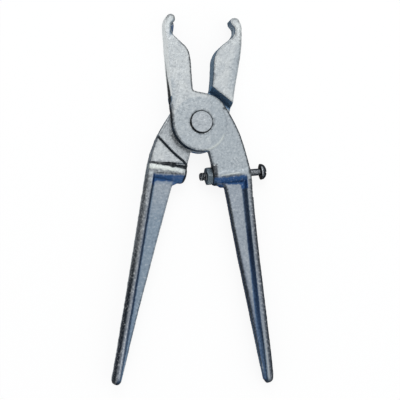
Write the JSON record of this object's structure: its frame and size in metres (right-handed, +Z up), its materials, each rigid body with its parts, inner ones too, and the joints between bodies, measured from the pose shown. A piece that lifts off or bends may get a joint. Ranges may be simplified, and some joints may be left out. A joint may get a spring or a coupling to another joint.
{
  "type": "hog ringer pliers",
  "caption": "Hand pliers with hooked jaws that close an open hog ring; two cast levers crossed at a riveted half-lap pivot, with a stop screw that limits how far they close.",
  "frame": {"origin": "on the rivet's axis, at the face the pliers lie on", "axes": "+Y towards the jaws, +X towards the screw lever's handle, +Z up through the thickness, out of the face seen in the picture"},
  "size_m": [0.0909, 0.2109, 0.012],
  "materials": {
    "plated_casting": "zinc-plated rough casting",
    "rivet_steel": "zinc-plated, peened",
    "screw_steel": "dark plated",
    "nut_steel": "dark plated"
  },
  "bodies": {
    "screw_lever": {"screw_lever": "plated_casting", "pivot_rivet": "rivet_steel"},
    "anvil_lever": {"anvil_lever": "plated_casting"},
    "stop_screw": {"stop_screw": "screw_steel"},
    "lock_nut": {"lock_nut": "nut_steel"}
  },
  "joints": [
    {"name": "lever_pivot", "type": "hinge", "parent": "screw_lever", "child": "anvil_lever", "pos_m": [0, 0, 0], "axis": [0, 0, 1], "range_deg": [-27, 14]},
    {"name": "stop_screw_adjust", "type": "slide", "parent": "screw_lever", "child": "stop_screw", "axis": [0.9917, 0.1288, 0], "range_m": [0, 0.003]},
    {"name": "lock_nut_run", "type": "slide", "parent": "screw_lever", "child": "lock_nut", "axis": [-0.9917, -0.1288, 0], "range_m": [0, 0.002]}
  ]
}
